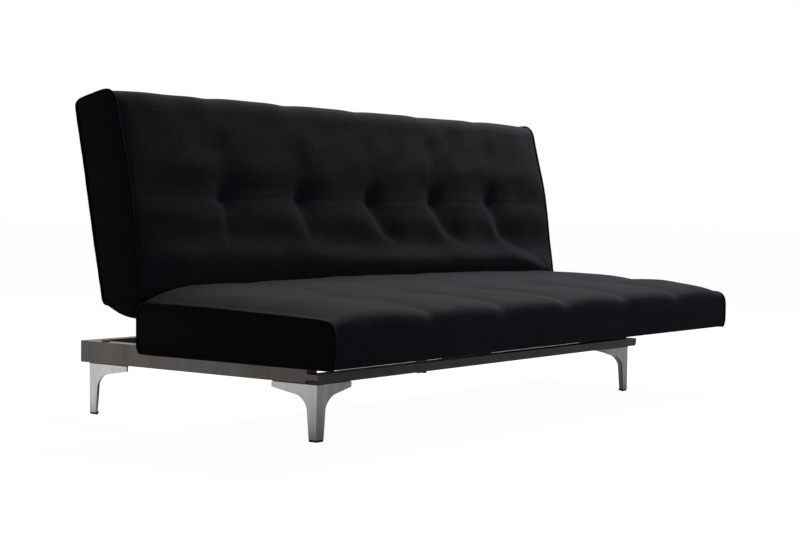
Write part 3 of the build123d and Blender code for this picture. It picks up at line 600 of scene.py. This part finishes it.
def seat_shape(x, place, normal):
    """The seat's wrap: a crowned tufted top over a plain front, and a flat underside."""
    y, z = place[..., 0], place[..., 1]
    rising = ease(0.05, 0.55, normal[..., 1])
    front_half = y < (SEAT_FRONT + SEAT_REAR) / 2
    top = np.where(front_half, ease(0.255, 0.316, z), rising) * (normal[..., 1] > -0.2)
    out = top * seat_top_height(x, y)
    face = ease(0.5, 0.95, -normal[..., 0])
    level = (z - SEAT_FLOOR) / 0.115
    bow = face * 0.0030 * np.sin(math.pi * np.clip(level, 0, 1))
    ripple = face * 0.0010 * soft_noise(x, z, 0.18, 33)
    pocket = within(-POCKET_X, POCKET_X, x) * within(DUST_LOW.y, DUST_HIGH.y, y)
    under = ease(0.7, 0.95, -normal[..., 1])
    groove = GROOVE_DEPTH * np.exp(-(HALF - np.abs(x)) / GROOVE_WIDTH)
    y = y + normal[..., 0] * (bow + ripple - groove)
    z = z - normal[..., 1] * groove
    z = z + out + under * pocket * 0.0035
    return x, np.stack([y, z], axis=-1)


def held_seat(cushion):
    """Grip of the seat's cloth: full at the tufts, the ends, the underside and the rear face."""
    co = np.array([v.co for v in cushion.data.vertices])
    x, y, z = co.T
    held = 1 - ease(SEAT_FLOOR + 0.008, SEAT_FLOOR + 0.03, z)
    held = np.maximum(held, ease(SEAT_REAR - 0.03, SEAT_REAR - 0.01, y))
    held = np.maximum(held, 1 - ease(0.002, 0.014, HALF - np.abs(x)))
    for tuft in TUFTS:
        held = np.maximum(held, bell(0.0, 0.022, np.hypot(x - tuft, y - SEAT_TUFT_Y)) * (z > 0.3))
    return np.clip(held * 1.05, 0.0, 1.0)


def make_seat():
    """The seat cushion and its piping."""
    first = spline(SEAT_TOP_OUTLINE, SEAT_ROWS)
    second = spline(SEAT_BOTTOM_OUTLINE, SEAT_ROWS)
    xs = column_places(HALF, SEAT_STEP, END_STEP, END_STRIP)
    cushion, loops = closed_cushion("seat_cushion", first, second, xs, seat_shape, END_BULGE)
    puff(cushion, held_seat(cushion), SEAT_SWELL)
    subdivided(cushion)
    parts = [cushion] + end_piping("seat", loops, SEAT_CORD_POINTS)
    for piece in parts:
        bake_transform(piece)
    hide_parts("seat_cover", "seat_foam")
    return parts


# ---- shared shader groups ---------------------------------------------------------------------
def new_group(name, inputs, outputs):
    """An empty shader node group with named inputs and outputs."""
    group = bpy.data.node_groups.new(name, "ShaderNodeTree")
    for label, kind, value in inputs:
        socket = group.interface.new_socket(name=label, in_out="INPUT", socket_type=kind)
        if value is not None:
            socket.default_value = value
    for label, kind in outputs:
        group.interface.new_socket(name=label, in_out="OUTPUT", socket_type=kind)
    return group, group.nodes.new("NodeGroupInput"), group.nodes.new("NodeGroupOutput")


def maths(tree, operation, a, b=None, c=None):
    """A Math node whose inputs are numbers or sockets; returns its output."""
    node = tree.nodes.new("ShaderNodeMath")
    node.operation = operation
    for socket, value in zip(node.inputs, (a, b, c)):
        if value is None:
            continue
        if isinstance(value, (int, float)):
            socket.default_value = value
        else:
            tree.links.new(value, socket)
    return node.outputs[0]


def noise(tree, vector, scale, detail=3.0, roughness=0.5):
    """A noise texture's value on the given coordinates."""
    node = tree.nodes.new("ShaderNodeTexNoise")
    tree.links.new(vector, node.inputs["Vector"])
    node.inputs["Scale"].default_value = scale
    node.inputs["Detail"].default_value = detail
    node.inputs["Roughness"].default_value = roughness
    return node.outputs["Fac"]


def ramp(tree, value, stops):
    """A colour ramp through the stops, each a position and a grey value or a colour."""
    node = tree.nodes.new("ShaderNodeValToRGB")
    tree.links.new(value, node.inputs["Fac"])
    while len(node.color_ramp.elements) < len(stops):
        node.color_ramp.elements.new(0.5)
    for element, (position, colour) in zip(node.color_ramp.elements, stops):
        element.position = position
        element.color = (colour, colour, colour, 1.0) if isinstance(colour, (int, float)) else (*colour, 1.0)
    return node.outputs["Color"]


def weave_group():
    """Plain weave: two crossing sets of uneven yarns, with fuzz. Gives a height and a fleck mask."""
    group, source, result = new_group(
        "plain_weave", [("Vector", "NodeSocketVector", None), ("Pitch", "NodeSocketFloat", 0.0016)],
        [("Height", "NodeSocketFloat"), ("Fleck", "NodeSocketFloat")])
    split = group.nodes.new("ShaderNodeSeparateXYZ")
    group.links.new(source.outputs["Vector"], split.inputs[0])
    wobble = noise(group, source.outputs["Vector"], 160.0, 2.0)
    sets = []
    for axis in ("X", "Y"):
        shifted = maths(group, "MULTIPLY_ADD", wobble, 0.0009, split.outputs[axis])
        turns = maths(group, "DIVIDE", shifted, source.outputs["Pitch"])
        sets.append(maths(group, "MULTIPLY", turns, math.pi))
    first, second = (maths(group, "SINE", value) for value in sets)
    crossing = maths(group, "MULTIPLY", first, second)
    over = maths(group, "MULTIPLY_ADD", crossing, 0.5, 0.5)
    first_round = maths(group, "ABSOLUTE", first)
    second_round = maths(group, "ABSOLUTE", second)
    lift = maths(group, "MAXIMUM", maths(group, "MULTIPLY", first_round, over),
                 maths(group, "MULTIPLY", second_round, maths(group, "SUBTRACT", 1.0, over)))
    stretch = group.nodes.new("ShaderNodeMapping")
    stretch.inputs["Scale"].default_value = (90.0, 620.0, 300.0)
    group.links.new(source.outputs["Vector"], stretch.inputs["Vector"])
    slub = noise(group, stretch.outputs[0], 1.0, 3.0, 0.6)
    fuzz = noise(group, source.outputs["Vector"], 900.0, 2.0, 0.6)
    fuzzy = maths(group, "MULTIPLY_ADD", fuzz, 0.35, lift)
    height = maths(group, "ADD", fuzzy, maths(group, "MULTIPLY", slub, 0.3))
    group.links.new(height, result.inputs["Height"])
    fleck = maths(group, "MULTIPLY", maths(group, "ADD", slub, fuzz), 0.5)
    group.links.new(fleck, result.inputs["Fleck"])
    return group


def grain_group():
    """Fine uneven grain: broad stains and small specks on Object coordinates. Gives two masks."""
    group, source, result = new_group(
        "surface_grain", [("Vector", "NodeSocketVector", None), ("Broad", "NodeSocketFloat", 6.0),
                          ("Fine", "NodeSocketFloat", 240.0)],
        [("Stain", "NodeSocketFloat"), ("Speck", "NodeSocketFloat")])
    for label, output, detail in (("Broad", "Stain", 4.0), ("Fine", "Speck", 3.0)):
        node = group.nodes.new("ShaderNodeTexNoise")
        group.links.new(source.outputs["Vector"], node.inputs["Vector"])
        group.links.new(source.outputs[label], node.inputs["Scale"])
        node.inputs["Detail"].default_value = detail
        group.links.new(node.outputs["Fac"], result.inputs[output])
    return group


WEAVE = weave_group()
GRAIN = grain_group()


def material(name, roughness, metallic=0.0, specular=0.5):
    """A new material with its Principled shader; returns the material, its tree and the shader."""
    made = bpy.data.materials.new(name)
    made.use_nodes = True
    shader = made.node_tree.nodes["Principled BSDF"]
    shader.inputs["Roughness"].default_value = roughness
    shader.inputs["Metallic"].default_value = metallic
    shader.inputs["Specular IOR Level"].default_value = specular
    return made, made.node_tree, shader


def placed(tree, group, **values):
    """A group node in a material, with its number inputs set."""
    node = tree.nodes.new("ShaderNodeGroup")
    node.node_tree = group
    for label, value in values.items():
        node.inputs[label].default_value = value
    return node


def bump(tree, shader, height, distance, strength=1.0):
    """A bump from a height mask, distance metres deep, into the shader's normal."""
    node = tree.nodes.new("ShaderNodeBump")
    node.inputs["Distance"].default_value = distance
    node.inputs["Strength"].default_value = strength
    tree.links.new(height, node.inputs["Height"])
    tree.links.new(node.outputs[0], shader.inputs["Normal"])


def upholstery_material(name, tone_with_piping_shade):
    """Near-black heathered cloth with a coarse plain weave and a soft surface fuzz, darkened by a factor that is
    painted shade on the piping.
    """
    made, tree, shader = material(name, 0.92, specular=0.12)
    place = tree.nodes.new("ShaderNodeUVMap")
    place.uv_map = "cloth"
    weave = placed(tree, WEAVE, Pitch=0.0017)
    tree.links.new(place.outputs[0], weave.inputs["Vector"])
    where = tree.nodes.new("ShaderNodeTexCoord")
    broad = noise(tree, where.outputs["Object"], 3.2, 4.0, 0.6)
    yarns = [(0.36, (0.016, 0.0150, 0.0215)), (0.50, (0.031, 0.0292, 0.0392)), (0.66, (0.074, 0.070, 0.086))]
    heather = ramp(tree, weave.outputs["Fleck"], yarns)
    # Painted shade in the weave: the cloth is darker where the yarns lie low.
    shade = ramp(tree, weave.outputs["Height"], [(0.25, 0.55), (1.0, 1.0)])
    mottle = noise(tree, where.outputs["Object"], 210.0, 2.0, 0.6)
    # Random mottling and wear, scaled by the darkening factor; on the piping that factor is painted shade.
    wear_with_piping_shade = ramp(tree, maths(tree, "MULTIPLY_ADD", mottle, 0.7, maths(tree, "MULTIPLY", broad, 0.3)),
                [(0.36, 0.62 * tone_with_piping_shade), (0.64, 1.38 * tone_with_piping_shade)])
    colour = heather
    for factor in (shade, wear_with_piping_shade):
        product = tree.nodes.new("ShaderNodeVectorMath")
        product.operation = "MULTIPLY"
        tree.links.new(colour, product.inputs[0])
        tree.links.new(factor, product.inputs[1])
        colour = product.outputs[0]
    tree.links.new(colour, shader.inputs["Base Color"])
    shader.inputs["Sheen Weight"].default_value = 0.10
    shader.inputs["Sheen Roughness"].default_value = 0.45
    shader.inputs["Sheen Tint"].default_value = (0.80, 0.80, 0.92, 1.0)
    bump(tree, shader, weave.outputs["Height"], 0.0004, 0.7)
    return made


def surface_material(name, dark, light, roughness, metallic=0.0, specular=0.5, grain=0.00008,
                     broad=6.0, fine=240.0, stretch=(1.0, 1.0, 1.0), spread=0.10):
    """A plain finish: colour between two tones by stains, uneven roughness and a fine grain."""
    made, tree, shader = material(name, roughness, metallic, specular)
    where = tree.nodes.new("ShaderNodeTexCoord")
    turn = tree.nodes.new("ShaderNodeMapping")
    turn.inputs["Scale"].default_value = stretch
    tree.links.new(where.outputs["Object"], turn.inputs["Vector"])
    mask = placed(tree, GRAIN, Broad=broad, Fine=fine)
    tree.links.new(turn.outputs[0], mask.inputs["Vector"])
    stain = maths(tree, "MULTIPLY", mask.outputs["Stain"], 0.75)
    both = maths(tree, "MULTIPLY_ADD", mask.outputs["Speck"], 0.35, stain)
    tree.links.new(ramp(tree, both, [(0.35, dark), (0.75, light)]), shader.inputs["Base Color"])
    rough = maths(tree, "MULTIPLY_ADD", mask.outputs["Stain"], spread * 2, roughness - spread)
    tree.links.new(rough, shader.inputs["Roughness"])
    bump(tree, shader, mask.outputs["Speck"], grain)
    return made


def timber_material():
    """Sawn pine: growth rings drawn out along the rail."""
    made, tree, shader = material("sawn_pine", 0.75, specular=0.3)
    where = tree.nodes.new("ShaderNodeTexCoord")
    turn = tree.nodes.new("ShaderNodeMapping")
    turn.inputs["Scale"].default_value = (2.5, 30.0, 40.0)
    tree.links.new(where.outputs["Object"], turn.inputs["Vector"])
    rings = noise(tree, turn.outputs[0], 2.0, 5.0, 0.6)
    tree.links.new(ramp(tree, rings, [(0.35, (0.36, 0.22, 0.11)), (0.55, (0.56, 0.38, 0.21)),
                                      (0.75, (0.66, 0.48, 0.29))]), shader.inputs["Base Color"])
    bump(tree, shader, rings, 0.0003)
    return made


def make_materials():
    """Every finish, by the record's slot names."""
    return {
        "upholstery": upholstery_material("black_upholstery", 0.72),
        # The piping is the same cloth made far darker: painted shade of the grooves on each side of the cord.
        "piping": upholstery_material("piping_cloth_painted_shade", 0.28),
        "foam": surface_material("cream_foam", (0.62, 0.55, 0.36), (0.80, 0.72, 0.50), 0.9,
                                 fine=500.0, grain=0.0006),
        "dust_cloth": surface_material("spun_dust_cloth", (0.010, 0.010, 0.011), (0.030, 0.030, 0.032), 0.85,
                                       specular=0.2, fine=700.0, grain=0.0003),
        "twine": surface_material("waxed_twine", (0.018, 0.018, 0.020), (0.045, 0.045, 0.05), 0.7,
                                  fine=900.0, grain=0.0003),
        "timber": timber_material(),
        "spring_steel": surface_material("blued_spring_wire", (0.10, 0.10, 0.11), (0.24, 0.24, 0.26), 0.35,
                                         1.0, fine=400.0),
        "black_plastic": surface_material("black_moulded_plastic", (0.012, 0.012, 0.012),
                                          (0.024, 0.024, 0.024), 0.5, fine=600.0, grain=0.0001),
        "zinc_steel": surface_material("zinc_plate", (0.42, 0.42, 0.44), (0.66, 0.66, 0.66), 0.38, 1.0,
                                       fine=300.0),
        "cast_aluminium": surface_material("satin_cast_aluminium", (0.62, 0.62, 0.63), (0.90, 0.90, 0.89),
                                           0.34, 0.90, broad=5.0, fine=60.0, grain=0.00012,
                                           stretch=(9.0, 9.0, 1.2)),
        "nylon": surface_material("white_nylon", (0.70, 0.70, 0.66), (0.82, 0.82, 0.78), 0.45, fine=300.0),
        "rubber": surface_material("grey_rubber", (0.075, 0.072, 0.069), (0.110, 0.106, 0.102), 0.8,
                                   specular=0.3, fine=500.0, grain=0.0002),
        "hinge_steel": surface_material("black_hinge_steel", (0.020, 0.020, 0.021), (0.045, 0.045, 0.046),
                                        0.42, 0.5, fine=260.0),
        "frame_paint": surface_material("bronze_grey_frame_paint", (0.105, 0.096, 0.088),
                                        (0.190, 0.172, 0.160), 0.36, 0.75, broad=2.2, fine=46.0,
                                        grain=0.00010, stretch=(6.0, 6.0, 1.5)),
    }


# ---- light, floor and camera -------------------------------------------------------------------
FILL_STRENGTH, FILL_COLOUR = 0.082, (0.78, 0.76, 1.0)
GLOSS_BASE, GLOSS_TURN = 0.30, (0.66, 0.95, 0.0)
GLOSS_LOW, GLOSS_HIGH = 0.06, 0.70
FLOOR_GLOW = 0.97
FLOOR_SEEN_GREY = 0.22
FLOOR_BOUNCE_GREY = 0.16
FLOOR_HALF = 60.0


def chosen(tree, ray, other, shader):
    """shader for one kind of ray, and other for the rest."""
    node = tree.nodes.new("ShaderNodeMixShader")
    tree.links.new(ray, node.inputs[0])
    tree.links.new(other, node.inputs[1])
    tree.links.new(shader, node.inputs[2])
    return node.outputs[0]


def shaded(tree, kind, strength=None, colour=None):
    """A background, emission or diffuse node with its strength and colour; returns the node."""
    node = tree.nodes.new(kind)
    if strength is not None:
        node.inputs["Strength"].default_value = strength
    if colour is not None:
        node.inputs["Color"].default_value = (*colour, 1.0)
    return node


def smooth_range(tree, value, low, high, from_value, to_value):
    """from_value below low, to_value above high, and a smooth step between them."""
    node = tree.nodes.new("ShaderNodeMapRange")
    node.interpolation_type = "SMOOTHSTEP"
    tree.links.new(value, node.inputs["Value"])
    limits = {"From Min": low, "From Max": high, "To Min": from_value, "To Max": to_value}
    for label, number in limits.items():
        node.inputs[label].default_value = number
    return node.outputs[0]


def make_world():
    """A white studio: plain white to the eye, a weak cool fill, and brighter in reflections from the rear."""
    world = bpy.data.worlds.new("studio")
    bpy.context.scene.world = world
    world.use_nodes = True
    tree = world.node_tree
    tree.nodes.clear()
    output = tree.nodes.new("ShaderNodeOutputWorld")
    path = tree.nodes.new("ShaderNodeLightPath")
    fill = shaded(tree, "ShaderNodeBackground", FILL_STRENGTH, FILL_COLOUR)
    mirrored = shaded(tree, "ShaderNodeBackground", colour=(1.0, 1.0, 1.0))
    seen = shaded(tree, "ShaderNodeBackground", 1.0, (1.0, 1.0, 1.0))
    where = tree.nodes.new("ShaderNodeTexCoord")
    facing = tree.nodes.new("ShaderNodeVectorMath")
    facing.operation = "DOT_PRODUCT"
    facing.inputs[1].default_value = GLOSS_TURN
    tree.links.new(where.outputs["Generated"], facing.inputs[0])
    bright = maths(tree, "MAXIMUM", maths(tree, "ADD", facing.outputs["Value"], GLOSS_BASE), GLOSS_LOW)
    tree.links.new(maths(tree, "MINIMUM", bright, GLOSS_HIGH), mirrored.inputs["Strength"])
    unseen = chosen(tree, path.outputs["Is Glossy Ray"], fill.outputs[0], mirrored.outputs[0])
    surface = chosen(tree, path.outputs["Is Camera Ray"], unseen, seen.outputs[0])
    tree.links.new(surface, output.inputs["Surface"])


def make_floor():
    """A plain pale floor, nearly white to the eye. In reflections it carries painted shadow, darker under and
    before the sofa.
    """
    corners = [(x * FLOOR_HALF, y * FLOOR_HALF, 0.0) for x, y in ((-1, -1), (1, -1), (1, 1), (-1, 1))]
    floor = mesh_object("floor", corners, [(0, 1, 2, 3)])
    made = bpy.data.materials.new("pale_floor")
    made.use_nodes = True
    tree = made.node_tree
    tree.nodes.clear()
    output = tree.nodes.new("ShaderNodeOutputMaterial")
    path = tree.nodes.new("ShaderNodeLightPath")
    glow = shaded(tree, "ShaderNodeEmission", FLOOR_GLOW)
    matt = shaded(tree, "ShaderNodeBsdfDiffuse", colour=(FLOOR_SEEN_GREY,) * 3)
    both = tree.nodes.new("ShaderNodeAddShader")
    tree.links.new(glow.outputs[0], both.inputs[0])
    tree.links.new(matt.outputs[0], both.inputs[1])
    dull = shaded(tree, "ShaderNodeBsdfDiffuse", colour=(FLOOR_BOUNCE_GREY,) * 3)
    # The floor as reflections see it: a glow carrying painted shadow, dimmer under the sofa and in front of it.
    reflected_glow_with_painted_shadow = shaded(tree, "ShaderNodeEmission")
    where = tree.nodes.new("ShaderNodeTexCoord")
    split = tree.nodes.new("ShaderNodeSeparateXYZ")
    tree.links.new(where.outputs["Object"], split.inputs[0])
    # Painted shadow under the sofa: the reflected glow falls to a tenth over the sofa's footprint.
    beside = maths(tree, "SUBTRACT", maths(tree, "ABSOLUTE", split.outputs["X"]), 0.78)
    before = maths(tree, "SUBTRACT", maths(tree, "ABSOLUTE", split.outputs["Y"]), 0.40)
    painted_shadow_under_sofa = smooth_range(tree, maths(tree, "MAXIMUM", beside, before), -0.10, 0.50, 0.10, 1.0)
    # Painted shade before the sofa: the reflected glow is dimmer towards the front and brighter towards the rear.
    behind = smooth_range(tree, split.outputs["Y"], -0.90, 1.20, 0.24, 0.85)
    tree.links.new(maths(tree, "MULTIPLY", painted_shadow_under_sofa, behind), reflected_glow_with_painted_shadow.inputs["Strength"])
    unseen = chosen(tree, path.outputs["Is Glossy Ray"], dull.outputs[0], reflected_glow_with_painted_shadow.outputs[0])
    surface = chosen(tree, path.outputs["Is Camera Ray"], unseen, both.outputs[0])
    tree.links.new(surface, output.inputs["Surface"])
    floor.data.materials.append(made)


def area_light(name, place, target, size, watts, colour=(1.0, 1.0, 1.0)):
    """A soft rectangular light at place, aimed at target, and not seen by the camera."""
    data = bpy.data.lights.new(name, "AREA")
    data.shape = "RECTANGLE"
    data.size, data.size_y = size
    data.energy = watts
    data.color = colour
    light = bpy.data.objects.new(name, data)
    bpy.context.scene.collection.objects.link(light)
    light.location = place
    light.rotation_euler = (Vector(target) - Vector(place)).to_track_quat("-Z", "Y").to_euler()
    light.visible_camera = False


CAMERA_PLACE = (-3.7378, -2.8706, 0.5797)
CAMERA_YAW, CAMERA_PITCH, CAMERA_ROLL = 52.188, -1.963, 0.53
CAMERA_LENS = 70.15


def make_camera():
    """The camera, on the sofa's front left and a little above its seat, with a slight roll."""
    data = bpy.data.cameras.new("camera")
    data.sensor_width = 36.0
    data.lens = CAMERA_LENS
    camera = bpy.data.objects.new("camera", data)
    bpy.context.scene.collection.objects.link(camera)
    yaw, pitch, roll = (math.radians(angle) for angle in (CAMERA_YAW, CAMERA_PITCH, CAMERA_ROLL))
    ahead = Vector((math.sin(yaw) * math.cos(pitch), math.cos(yaw) * math.cos(pitch), math.sin(pitch)))
    right = ahead.cross(Vector((0.0, 0.0, 1.0))).normalized()
    above = right.cross(ahead)
    tilted = math.cos(roll) * right + math.sin(roll) * above
    above = -math.sin(roll) * right + math.cos(roll) * above
    turn = Matrix((tilted, above, -ahead)).transposed()
    camera.matrix_world = Matrix.Translation(CAMERA_PLACE) @ turn.to_4x4()
    bpy.context.scene.camera = camera


# ---- put it together ----------------------------------------------------------------------------
make_camera()
make_world()
make_floor()
area_light("ceiling_light", (2.1, 0.55, 3.1), (0.25, -0.10, 0.4), (2.0, 1.0), 112.0, (1.0, 0.98, 0.93))
area_light("front_fill", (-0.2, -4.4, 1.2), (0.1, 0.0, 0.4), (2.5, 2.0), 15.0)

finishes = make_materials()
for piece in make_back() + make_seat():
    # The piping gets the darker copy of the cloth, its painted shade.
    piece.data.materials.append(finishes["piping" if "piping" in piece.name else "upholstery"])
for part in frame["record"]["subparts"]:
    node = frame["nodes"][part["node"]]
    node.data.materials.clear()
    node.data.materials.append(finishes[part["material_slot"]])

bpy.context.scene.view_settings.view_transform = "Standard"
bpy.context.view_layer.update()
